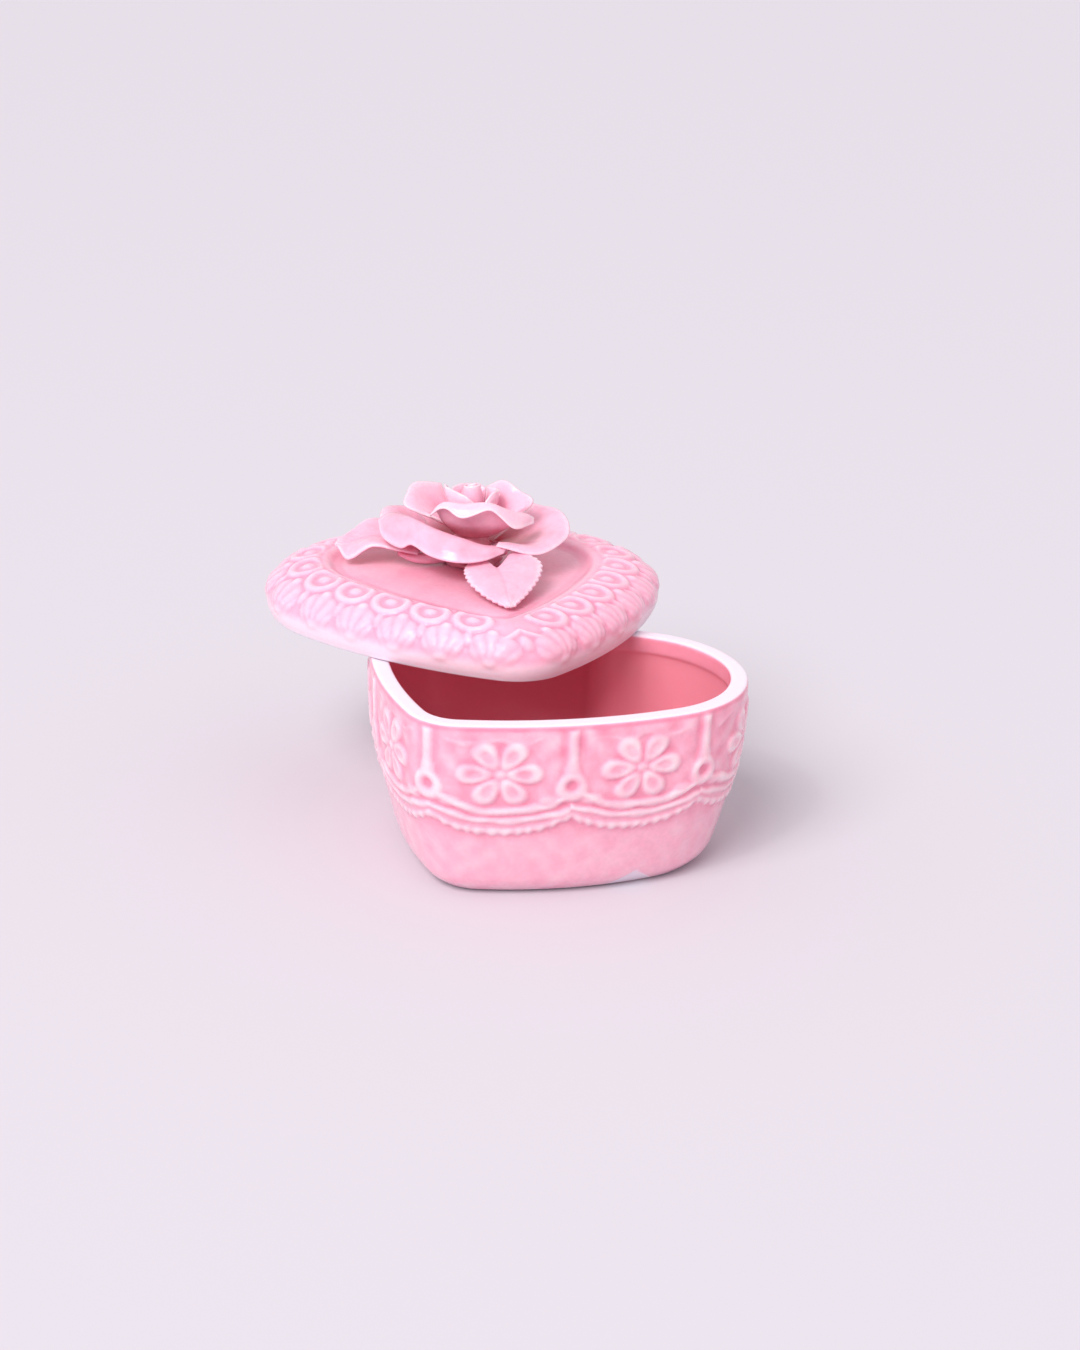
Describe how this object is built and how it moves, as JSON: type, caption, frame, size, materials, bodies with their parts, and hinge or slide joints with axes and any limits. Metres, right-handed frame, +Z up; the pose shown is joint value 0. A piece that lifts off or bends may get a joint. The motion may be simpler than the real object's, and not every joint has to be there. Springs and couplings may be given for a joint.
{
  "type": "heart-shaped trinket box",
  "caption": "Heart-shaped glazed ceramic trinket box with a loose lid lying askew on the rim, a hand-built rose with leaves on the lid, and a hollow bowl for small jewellery.",
  "frame": {"origin": "centre of the bowl's flat underside, on the surface it stands on", "axes": "+Z up, the heart's tip points to -Y, +X to the right seen from the tip"},
  "size_m": [0.1207, 0.1089, 0.0724],
  "materials": {
    "bowl_glaze": "gloss",
    "lid_glaze": "gloss",
    "petal_glaze": "gloss",
    "leaf_glaze": "gloss"
  },
  "bodies": {
    "bowl": {"base_bowl": "bowl_glaze"},
    "lid": {"lid_shell": "lid_glaze", "rose_core": "petal_glaze", "rose_bud": "petal_glaze", "outer_petal_front": "petal_glaze", "outer_petal_right": "petal_glaze", "outer_petal_back_right": "petal_glaze", "outer_petal_back_left": "petal_glaze", "outer_petal_left": "petal_glaze", "middle_petal_front": "petal_glaze", "middle_petal_right": "petal_glaze", "middle_petal_back": "petal_glaze", "middle_petal_left": "petal_glaze", "inner_petal_left": "petal_glaze", "inner_petal_right": "petal_glaze", "inner_petal_back": "petal_glaze", "front_leaf": "leaf_glaze", "front_stem": "leaf_glaze", "left_leaf": "leaf_glaze", "left_stem": "leaf_glaze"}
  },
  "joints": [
    {"name": "lid_lift", "type": "slide", "parent": "bowl", "child": "lid", "axis": [0, 0, 1], "range_m": [0, 0.08]}
  ]
}
